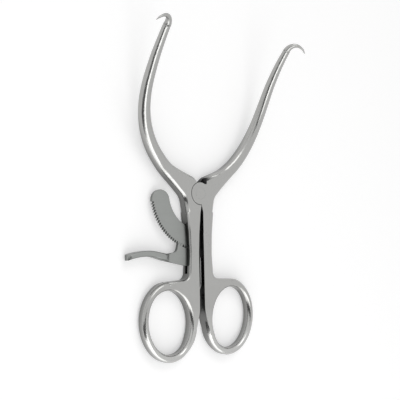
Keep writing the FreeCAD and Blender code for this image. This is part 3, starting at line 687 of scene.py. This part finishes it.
@dataclass(frozen=True)
class EasedPiece:
    """A small piece of the mechanism with real eased edges, which stands for its CAD node.

    Args:
        node: the CAD node that the piece stands for.
        body: the body that it rides on.
        slot: the finish that it takes.
        ease: millimetres taken off each sharp edge.
        segments: faces across each eased edge.
        sharp_angle: degrees between two faces above which their edge is eased.
        flat_angle: degrees between two faces below which they become one.
        shade_angle: degrees between two faces above which their edge is drawn sharp.
    """

    node: str
    body: Body
    slot: Slot
    ease: float
    segments: int = 2
    sharp_angle: float = 32.0
    flat_angle: float = 0.5
    shade_angle: float = 40.0

    def shape(self, mesh: bmesh.types.BMesh) -> None:
        """Ease the sharp edges of the merged piece.

        Args:
            mesh: the merged piece, in metres.
        """
        limit = math.radians(self.sharp_angle)
        sharp = [e for e in mesh.edges if e.is_manifold and e.calc_face_angle(0.0) > limit]
        bmesh.ops.bevel(mesh, geom=sharp, offset=self.ease * MM, offset_type="OFFSET",
                        affect="EDGES", segments=self.segments, profile=0.5, material=-1,
                        clamp_overlap=True)

    def build(self, frame: dict, materials: dict[Slot, bpy.types.Material]) -> bpy.types.Object:
        """Make the piece from a merged copy of its CAD node.

        Args:
            frame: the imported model.
            materials: the finishes by slot.

        Returns:
            The new piece.
        """
        mesh = bmesh.new()
        mesh.from_mesh(frame["nodes"][self.node].data)
        bmesh.ops.remove_doubles(mesh, verts=mesh.verts, dist=MERGE_DISTANCE)
        bmesh.ops.dissolve_limit(mesh, angle_limit=math.radians(self.flat_angle), verts=mesh.verts,
                                 edges=mesh.edges)
        self.shape(mesh)
        piece = as_object(self.node + "_eased", mesh)
        dress(piece, materials[self.slot], self.shade_angle, 100)
        self.attach(piece)
        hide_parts(self.node)
        LOG.info("%s: %d faces", piece.name, len(piece.data.polygons))
        return piece

    def attach(self, piece: bpy.types.Object) -> None:
        """Make the piece move with its body."""
        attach(piece, self.body.value)


@dataclass(frozen=True)
class RoundedLever(EasedPiece):
    """Release lever, whose finger tab ends in a rounded tip.

    Args:
        tip_rounding: millimetres of the rounding round the tab's end face.
        end_facing: least share of the end face's normal that points away from the shank.
    """

    tip_rounding: float = 1.1
    end_facing: float = 0.8

    def shape(self, mesh: bmesh.types.BMesh) -> None:
        """Round the tip of the tab, then ease the other edges.

        Args:
            mesh: the merged lever, in metres.
        """
        ends = [face for face in mesh.faces if face.normal.x < -self.end_facing]
        end = min(ends, key=lambda face: face.calc_center_median().x)
        bmesh.ops.bevel(mesh, geom=list(end.edges), offset=self.tip_rounding * MM,
                        offset_type="OFFSET", affect="EDGES", segments=4, profile=0.5,
                        material=-1, clamp_overlap=True)
        super().shape(mesh)


@dataclass(frozen=True)
class BendingSpring(EasedPiece):
    """Leaf spring, from its foot on the shank to its free end at the lever's tail.

    Args:
        fixed_end: millimetres along Y where the slices across the blade start.
        free_end: millimetres along Y where the slices end.
        slices: how many steps the blade is sliced into.
    """

    fixed_end: float = -50.0
    free_end: float = -33.6
    slices: int = 14

    def shape(self, mesh: bmesh.types.BMesh) -> None:
        """Ease the edges, then slice the blade across at even steps.

        Args:
            mesh: the merged spring, in metres.
        """
        super().shape(mesh)
        step = (self.free_end - self.fixed_end) / self.slices
        for number in range(self.slices + 1):
            height = self.fixed_end + number * step
            geometry = [*mesh.verts, *mesh.edges, *mesh.faces]
            bmesh.ops.bisect_plane(mesh, geom=geometry, dist=0.0001 * MM,
                                   plane_co=(0, height * MM, 0), plane_no=(0, 1, 0))

    def attach(self, piece: bpy.types.Object) -> None:
        """Leave the blade on no body, with its place written into its mesh."""
        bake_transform(piece)


@dataclass(frozen=True)
class Mechanism:
    """The rack, the lever, their pins and the spring."""

    pieces: tuple[EasedPiece, ...] = (
        EasedPiece("ratchet_rack", Body.RIGHT, Slot.PLATE, 0.06),
        RoundedLever("release_lever", Body.LEVER, Slot.PLATE, 0.08),
        EasedPiece("pivot_pin", Body.LEFT, Slot.FORGED, 0.005),
        EasedPiece("rack_pins", Body.RIGHT, Slot.FORGED, 0.03),
        EasedPiece("lever_pin", Body.LEFT, Slot.FORGED, 0.03),
        EasedPiece("spring_screw", Body.LEFT, Slot.SPRING, 0.06),
        BendingSpring("lever_spring", Body.LEFT, Slot.SPRING, 0.05),
    )

    def build(self, frame: dict, materials: dict[Slot, bpy.types.Material]) -> None:
        """Make every piece of the mechanism."""
        for piece in self.pieces:
            piece.build(frame, materials)


@dataclass(frozen=True)
class FingerRing:
    """Free bar of a finger ring, forged to an oval section where it leaves the web.

    Lengths are millimetres and places are those of the right ring.

    Args:
        centre: middle of the ring in plan.
        half_width: half the width of the opening.
        half_length: half the length of the opening.
        bar: width of the bar in plan.
        tilt: degrees that the ring leans away from the shank.
        depth: thickness of the oval bar.
        mid_height: height of the ring's middle plane.
        free_from: bearing on the ring, in degrees, where the free bar starts.
        free_to: bearing where the free bar ends.
        blend: degrees over which the web's section turns into the oval.
        margin: bar widths round the opening within which a point belongs to the ring.
    """

    centre: tuple[float, float] = (19.3, -64.2)
    half_width: float = 12.2
    half_length: float = 15.7
    bar: float = 4.2
    tilt: float = 7.8
    depth: float = 6.1
    mid_height: float = 3.4
    free_from: float = -150.0
    free_to: float = 88.0
    blend: float = 34.0
    margin: float = 1.4

    def offset(self, x: float, y: float) -> float:
        """How far a point lies outside the edge of the opening, found by halving.

        Args:
            x: millimetres from the ring's middle across it.
            y: millimetres from the ring's middle along it.

        Returns:
            The distance in millimetres.
        """
        low, high = -self.bar, 2 * self.bar
        for _ in range(24):
            middle = (low + high) / 2
            reach = math.hypot(x / (self.half_width + middle), y / (self.half_length + middle))
            low, high = (middle, high) if reach > 1 else (low, middle)
        return (low + high) / 2

    def share(self, x: float, y: float) -> float:
        """Share of the oval section at a point: 1 on the free bar and 0 in the web.

        Args:
            x: millimetres from the ring's middle across it.
            y: millimetres from the ring's middle along it.

        Returns:
            The share, from 0 to 1.
        """
        bearing = math.degrees(math.atan2(y / self.half_length, x / self.half_width))
        inside = min(bearing - self.free_from, self.free_to - bearing) / self.blend
        t = min(1.0, max(0.0, inside))
        return t * t * (3 - 2 * t)

    def shape(self, mesh: bmesh.types.BMesh, side: float) -> None:
        """Turn the flat sides of the free bar into an oval.

        Args:
            mesh: one forged half, in metres.
            side: 1 for the right half and -1 for the left one.
        """
        lean = Matrix.Rotation(math.radians(self.tilt), 2)
        half = self.bar / 2
        middle = Vector(self.centre)
        for vertex in mesh.verts:
            spot = lean @ (Vector((side * vertex.co.x, vertex.co.y)) / MM - middle)
            outer = math.hypot(spot.x / (self.half_width + self.margin * self.bar),
                               spot.y / (self.half_length + self.margin * self.bar))
            if outer > 1 or spot.length < self.half_width / 2:
                continue
            across = self.offset(spot.x, spot.y) - half
            rise = vertex.co.z / MM - self.mid_height
            angle = math.atan2(rise / self.mid_height, across / half)
            share = self.share(spot.x, spot.y)
            moved = share * (half * math.cos(angle) - across)
            spot += spot.normalized() * moved
            plan = lean.inverted() @ spot + middle
            level = rise + share * (self.depth / 2 * math.sin(angle) - rise)
            vertex.co = Vector((side * plan.x, plan.y, self.mid_height + level)) * MM


@dataclass(frozen=True)
class JointNotch:
    """Open notch above a lobe, cut upright into the horn of its own half.

    Args:
        wall: millimetres from the mid-line to the notch's upright wall.
        floor: height of the notch's lower edge above the pivot.
        top: height up to which the cut goes, past the metal.
        lobe_radius: radius round the pivot that the cut leaves alone.
        mid_height: height of the middle plane.
        layer_gap: clearance kept from the middle plane.
        depth: depth of the cut, past the outer face.
    """

    wall: float = 4.2
    floor: float = 4.95
    top: float = 13.0
    lobe_radius: float = 5.8
    mid_height: float = 3.4
    layer_gap: float = 0.03
    depth: float = 5.0

    def cutter(self, side: float) -> bpy.types.Object:
        """Make the wedge that is cut away.

        Args:
            side: 1 for the right half, whose lobe lies in front, and -1 for the left one.

        Returns:
            The wedge, linked to the scene until the cut is made.
        """
        start = math.asin(self.floor / self.lobe_radius)
        bearings = [start + share / 3 * (math.pi / 2 - start) for share in range(4)]
        rim = [(math.cos(b) * self.lobe_radius, math.sin(b) * self.lobe_radius) for b in bearings]
        plan = [(self.wall, self.floor), (self.wall, self.top), (0.0, self.top), *reversed(rim)]
        level = self.mid_height + side * self.layer_gap
        mesh = bmesh.new()
        corners = [mesh.verts.new((side * x * MM, y * MM, level * MM)) for x, y in plan]
        sheet = mesh.faces.new(corners)
        raised = bmesh.ops.extrude_face_region(mesh, geom=[sheet])["geom"]
        moved = [v for v in raised if isinstance(v, bmesh.types.BMVert)]
        bmesh.ops.translate(mesh, vec=(0, 0, side * self.depth * MM), verts=moved)
        bmesh.ops.recalc_face_normals(mesh, faces=mesh.faces)
        return as_object("notch_cutter", mesh)

    def cut(self, data: bpy.types.Mesh, side: float) -> bpy.types.Mesh:
        """Cut the notch into one half.

        Args:
            data: the half's closed mesh.
            side: 1 for the right half and -1 for the left one.

        Returns:
            A new mesh with the notch.
        """
        blank = bpy.data.objects.new("notch_blank", data)
        bpy.context.scene.collection.objects.link(blank)
        tool = self.cutter(side)
        step = blank.modifiers.new("notch", "BOOLEAN")
        step.operation = "DIFFERENCE"
        step.solver = "EXACT"
        step.object = tool
        graph = bpy.context.evaluated_depsgraph_get()
        notched = bpy.data.meshes.new_from_object(blank.evaluated_get(graph))
        bpy.data.objects.remove(blank)
        bpy.data.meshes.remove(data)
        tool_data = tool.data
        bpy.data.objects.remove(tool)
        bpy.data.meshes.remove(tool_data)
        return notched


@dataclass(frozen=True)
class ArmRoot:
    """Where the arm leaves the neck: the arm is drawn out to the neck's section.

    Args:
        place: middle of the root in plan, on the right half.
        heading: degrees of the arm's direction there.
        step: millimetres that the neck stands proud of the arm on each side.
        run: millimetres along the arm over which the step is taken up.
        weld: millimetres between points of the step that become one.
        soften: millimetres either side of the root over which its corner is smoothed.
        rounds: how many times it is smoothed.
        face_height: height above the middle plane at which the flat faces lie.
        mid_height: height of the middle plane.
    """

    place: tuple[float, float] = (14.25, 8.2)
    heading: float = 31.5
    step: float = 0.03
    run: float = 5.0
    weld: float = 0.06
    soften: float = 2.0
    rounds: int = 4
    face_height: float = 3.3
    mid_height: float = 3.4

    def blend(self, mesh: bmesh.types.BMesh, side: float) -> None:
        """Take up the step between neck and arm.

        Args:
            mesh: one forged half, in metres.
            side: 1 for the right half and -1 for the left one.
        """
        middle = Vector(self.place)
        bearing = math.radians(self.heading)
        ahead = Vector((math.cos(bearing), math.sin(bearing)))
        mesh.normal_update()
        rim, moves = [], []
        for vertex in mesh.verts:
            plan = Vector((side * vertex.co.x, vertex.co.y)) / MM
            along = (plan - middle).dot(ahead)
            if (plan - middle).length > 3 * self.run:
                continue
            if abs(along) < self.weld:
                rim.append(vertex)
            elif 0 < along < self.run:
                moves.append((vertex, vertex.normal * self.step * (1 - along / self.run)))
        for vertex, move in moves:
            vertex.co += move * MM
        bmesh.ops.remove_doubles(mesh, verts=rim, dist=self.weld * MM)
        corner = []
        for vertex in mesh.verts:
            plan = Vector((side * vertex.co.x, vertex.co.y)) / MM - middle
            rounded = abs(vertex.co.z / MM - self.mid_height) < self.face_height
            if rounded and abs(plan.dot(ahead)) < self.soften and plan.length < 2 * self.run:
                corner.append(vertex)
        for _ in range(self.rounds):
            bmesh.ops.smooth_vert(mesh, verts=corner, factor=0.5, use_axis_x=True,
                                  use_axis_y=True, use_axis_z=True)


@dataclass(frozen=True)
class Forging:
    """One forged half: arm, neck, shank and finger ring in one piece of polished steel.

    Args:
        node: the CAD node that the piece stands for.
        body: the body that it rides on.
        side: 1 for the right half and -1 for the left one.
        seam: the side on which it holds the other half's lobe.
        ring: the finger ring's bar.
        notch: the open notch over the joint.
        root: the step between neck and arm.
        sharp_angle: degrees between two faces above which their edge stays sharp.
        flat_angle: degrees between two faces below which they become one.
        flat_weight: how strongly large faces set the shading, from 1 to 100.
    """

    node: str
    body: Body
    side: float
    seam: SeamSide
    ring: FingerRing = field(default_factory=FingerRing)
    notch: JointNotch = field(default_factory=JointNotch)
    root: ArmRoot = field(default_factory=ArmRoot)
    sharp_angle: float = 35.0
    flat_angle: float = 0.05
    flat_weight: int = 80

    def build(self, frame: dict, effects: Effects) -> bpy.types.Object:
        """Make the piece from a merged copy of its CAD node.

        Args:
            frame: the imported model.
            effects: the shared node groups.

        Returns:
            The new piece.
        """
        mesh = bmesh.new()
        mesh.from_mesh(frame["nodes"][self.node].data)
        bmesh.ops.remove_doubles(mesh, verts=mesh.verts, dist=MERGE_DISTANCE)
        self.ring.shape(mesh, self.side)
        self.root.blend(mesh, self.side)
        blank = bpy.data.meshes.new(self.node + "_blank")
        mesh.to_mesh(blank)
        notched = self.notch.cut(blank, self.side)
        mesh.clear()
        mesh.from_mesh(notched)
        bpy.data.meshes.remove(notched)
        bmesh.ops.remove_doubles(mesh, verts=mesh.verts, dist=MERGE_DISTANCE)
        bmesh.ops.dissolve_limit(mesh, angle_limit=math.radians(self.flat_angle), verts=mesh.verts,
                                 edges=mesh.edges)
        piece = as_object(self.node + "_forged", mesh)
        finish = FINISHES[Slot.FORGED].build(effects, self.seam)
        dress(piece, finish, self.sharp_angle, self.flat_weight)
        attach(piece, self.body.value)
        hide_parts(self.node)
        LOG.info("%s: %d faces", piece.name, len(piece.data.polygons))
        return piece


@dataclass(frozen=True)
class Halves:
    """The two forged halves of the instrument."""

    left: Forging = Forging("left_arm", Body.LEFT, -1.0, SeamSide.FRONT)
    right: Forging = Forging("right_arm", Body.RIGHT, 1.0, SeamSide.BACK)

    def build(self, frame: dict, effects: Effects) -> None:
        """Make both halves."""
        for half in (self.left, self.right):
            half.build(frame, effects)


@dataclass(frozen=True)
class PhotoCamera:
    """Camera fitted to the photograph.

    Args:
        azimuth: degrees the camera stands to the left of a view square on to the flat faces.
        elevation: degrees above the plane through the pivot across the instrument.
        roll: degrees the camera is turned about its axis.
        distance: millimetres from the aim point.
        shift_right: millimetres the pivot lies right of the picture's middle.
        shift_up: millimetres the pivot lies above the picture's middle.
        lens: focal length in millimetres.
        sensor: width of the sensor in millimetres.
        pivot_height: millimetres from the underside to the middle plane.
        clip: nearest and furthest metres that the camera sees.
    """

    azimuth: float = 38.0
    elevation: float = -3.9
    roll: float = -1.1
    distance: float = 349.492
    shift_right: float = -1.73712
    shift_up: float = 3.14336
    lens: float = 60.84
    sensor: float = 36.0
    pivot_height: float = 3.4
    clip: tuple[float, float] = (0.01, 10.0)

    def axes(self) -> tuple[Vector, Vector, Vector]:
        """Directions to the right, upwards and back towards the camera in its picture.

        Returns:
            The three unit vectors.
        """
        a, e, r = (math.radians(v) for v in (self.azimuth, self.elevation, self.roll))
        across = Vector((math.cos(a), 0, math.sin(a)))
        back = Vector((-math.sin(a) * math.cos(e), math.sin(e), math.cos(a) * math.cos(e)))
        upright = back.cross(across)
        right = across * math.cos(r) + upright * math.sin(r)
        up = upright * math.cos(r) - across * math.sin(r)
        return right, up, back

    def build(self) -> bpy.types.Object:
        """Create the camera and make it the scene's.

        Returns:
            The camera object.
        """
        right, up, back = self.axes()
        spot = back * self.distance - right * self.shift_right - up * self.shift_up
        spot += Vector((0, 0, self.pivot_height))
        data = bpy.data.cameras.new("photo_camera")
        data.lens = self.lens
        data.sensor_width = self.sensor
        data.clip_start, data.clip_end = self.clip
        camera = bpy.data.objects.new("photo_camera", data)
        rotation = Matrix((right, up, back)).transposed().to_4x4()
        camera.matrix_world = Matrix.Translation(spot * MM) @ rotation
        bpy.context.scene.collection.objects.link(camera)
        bpy.context.scene.camera = camera
        return camera


@dataclass(frozen=True)
class SoftBox:
    """A soft area light that hangs round the instrument and points at it.

    Args:
        name: light name.
        bearing: degrees from the camera's direction, towards the picture's right.
        rise: degrees above the plane of the picture's middle row.
        distance: metres from the instrument.
        width: metres across.
        height: metres along the instrument.
        power: watts.
    """

    name: str
    bearing: float
    rise: float
    distance: float
    width: float
    height: float
    power: float

    def direction(self, camera: PhotoCamera) -> Vector:
        """Unit vector from the instrument to the light.

        Args:
            camera: the scene's camera.

        Returns:
            The unit vector.
        """
        right, up, back = camera.axes()
        bearing, rise = math.radians(self.bearing), math.radians(self.rise)
        level = back * math.cos(bearing) + right * math.sin(bearing)
        return level * math.cos(rise) + up * math.sin(rise)

    def build(self, camera: PhotoCamera) -> bpy.types.Object:
        """Create the light.

        Args:
            camera: the camera that its direction is counted from.

        Returns:
            The light's object.
        """
        data = bpy.data.lights.new(self.name, "AREA")
        data.energy = self.power
        data.shape = "RECTANGLE"
        data.size = self.width
        data.size_y = self.height
        light = bpy.data.objects.new(self.name, data)
        toward = self.direction(camera)
        light.location = toward * self.distance
        light.rotation_mode = "QUATERNION"
        light.rotation_quaternion = toward.to_track_quat("Z", "Y")
        bpy.context.scene.collection.objects.link(light)
        return light


@dataclass(frozen=True)
class DarkFlag(SoftBox):
    """A dark card, placed like a light, that gives polished metal its dark line.

    Args:
        tone: the card's own colour.
    """

    tone: float = 0.06

    def build(self, camera: PhotoCamera) -> bpy.types.Object:
        """Create the card, which only reflections see.

        Args:
            camera: the camera that its direction is counted from.

        Returns:
            The card's object.
        """
        mesh = bmesh.new()
        bmesh.ops.create_grid(mesh, x_segments=1, y_segments=1, size=0.5)
        toward = self.direction(camera)
        turn = toward.to_track_quat("Z", "Y").to_matrix().to_4x4()
        place = Matrix.Translation(toward * self.distance) @ turn
        place = place @ Matrix.Diagonal((self.width, self.height, 1, 1))
        bmesh.ops.transform(mesh, matrix=place, verts=mesh.verts)
        card = as_object(self.name, mesh)
        material = bpy.data.materials.new(self.name)
        material.use_nodes = True
        shader = material.node_tree.nodes["Principled BSDF"]
        shader.inputs["Base Color"].default_value = (*(self.tone,) * 3, 1)
        shader.inputs["Roughness"].default_value = 1.0
        card.data.materials.append(material)
        card.visible_camera = False
        card.visible_diffuse = False
        card.visible_shadow = False
        return card


@dataclass
class Studio:
    """Floor, lights and camera.

    Args:
        floor_size: metres across the floor.
        floor_tone: the floor's own pale colour.
        floor_roughness: how dull the floor is, from 0 to 1.
        backdrop_glow: light that the floor adds where it is seen, directly or in the steel.
        world_level: strength of the light from all round; the backdrop is white where it is seen.
    """

    floor_size: float = 6.0
    floor_tone: float = 0.80
    floor_roughness: float = 0.9
    backdrop_glow: float = 0.38
    world_level: float = 0.45
    camera: PhotoCamera = field(default_factory=PhotoCamera)
    lights: tuple[SoftBox, ...] = (
        SoftBox("strip_light", bearing=21, rise=-31, distance=0.9, width=0.42, height=0.65,
                power=1.75),
        SoftBox("upper_light", bearing=36, rise=44, distance=0.9, width=0.50, height=0.40,
                power=1.2),
        SoftBox("lower_light", bearing=-10, rise=-62, distance=0.8, width=1.10, height=0.60,
                power=2.5),
        DarkFlag("dark_flag", bearing=-17, rise=-20, distance=0.55, width=0.26, height=1.4,
                 power=0.0),
    )

    def seen(self, sheet: NodeSheet) -> bpy.types.NodeSocket:
        """Mask that is 1 for the rays by which the background is seen, also in steel.

        Args:
            sheet: the tree of the floor's material or of the world.

        Returns:
            The mask.
        """
        rays = sheet.add("LightPath").outputs
        mirrored = sheet.math("ADD", rays["Is Glossy Ray"], rays["Is Transmission Ray"])
        return sheet.math("ADD", rays["Is Camera Ray"], mirrored, clamp=True)

    def floor(self) -> bpy.types.Object:
        """Create the plain pale floor.

        Returns:
            The floor's object.
        """
        mesh = bmesh.new()
        bmesh.ops.create_grid(mesh, x_segments=1, y_segments=1, size=self.floor_size / 2)
        floor = as_object("floor", mesh)
        material = bpy.data.materials.new("pale_floor")
        material.use_nodes = True
        sheet = NodeSheet(material.node_tree)
        shader = material.node_tree.nodes["Principled BSDF"]
        shader.inputs["Roughness"].default_value = self.floor_roughness
        shader.inputs["Base Color"].default_value = (*(self.floor_tone,) * 3, 1)
        shader.inputs["Emission Color"].default_value = (1, 1, 1, 1)
        glow = sheet.math("MULTIPLY", self.seen(sheet), self.backdrop_glow)
        sheet.feed(shader.inputs["Emission Strength"], glow)
        floor.data.materials.append(material)
        return floor

    def world(self) -> None:
        """Light the studio evenly from all round."""
        world = bpy.data.worlds.new("studio")
        bpy.context.scene.world = world
        world.use_nodes = True
        sheet = NodeSheet(world.node_tree)
        background = world.node_tree.nodes["Background"]
        background.inputs["Color"].default_value = (1, 1, 1, 1)
        lift = 1.0 - self.world_level
        level = sheet.math("MULTIPLY_ADD", self.seen(sheet), lift, self.world_level)
        sheet.feed(background.inputs["Strength"], level)

    def build(self) -> None:
        """Create everything round the instrument."""
        self.floor()
        self.world()
        for light in self.lights:
            light.build(self.camera)
        self.camera.build()


def main() -> None:
    """Build the visual model."""
    logging.basicConfig(level=logging.INFO)
    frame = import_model()
    effects = Effects()
    materials = {slot: steel.build(effects) for slot, steel in FINISHES.items()}
    Halves().build(frame, effects)
    Mechanism().build(frame, materials)
    Studio().build()
    bpy.context.scene.view_settings.view_transform = "Standard"


if __name__ == "__main__":
    main()
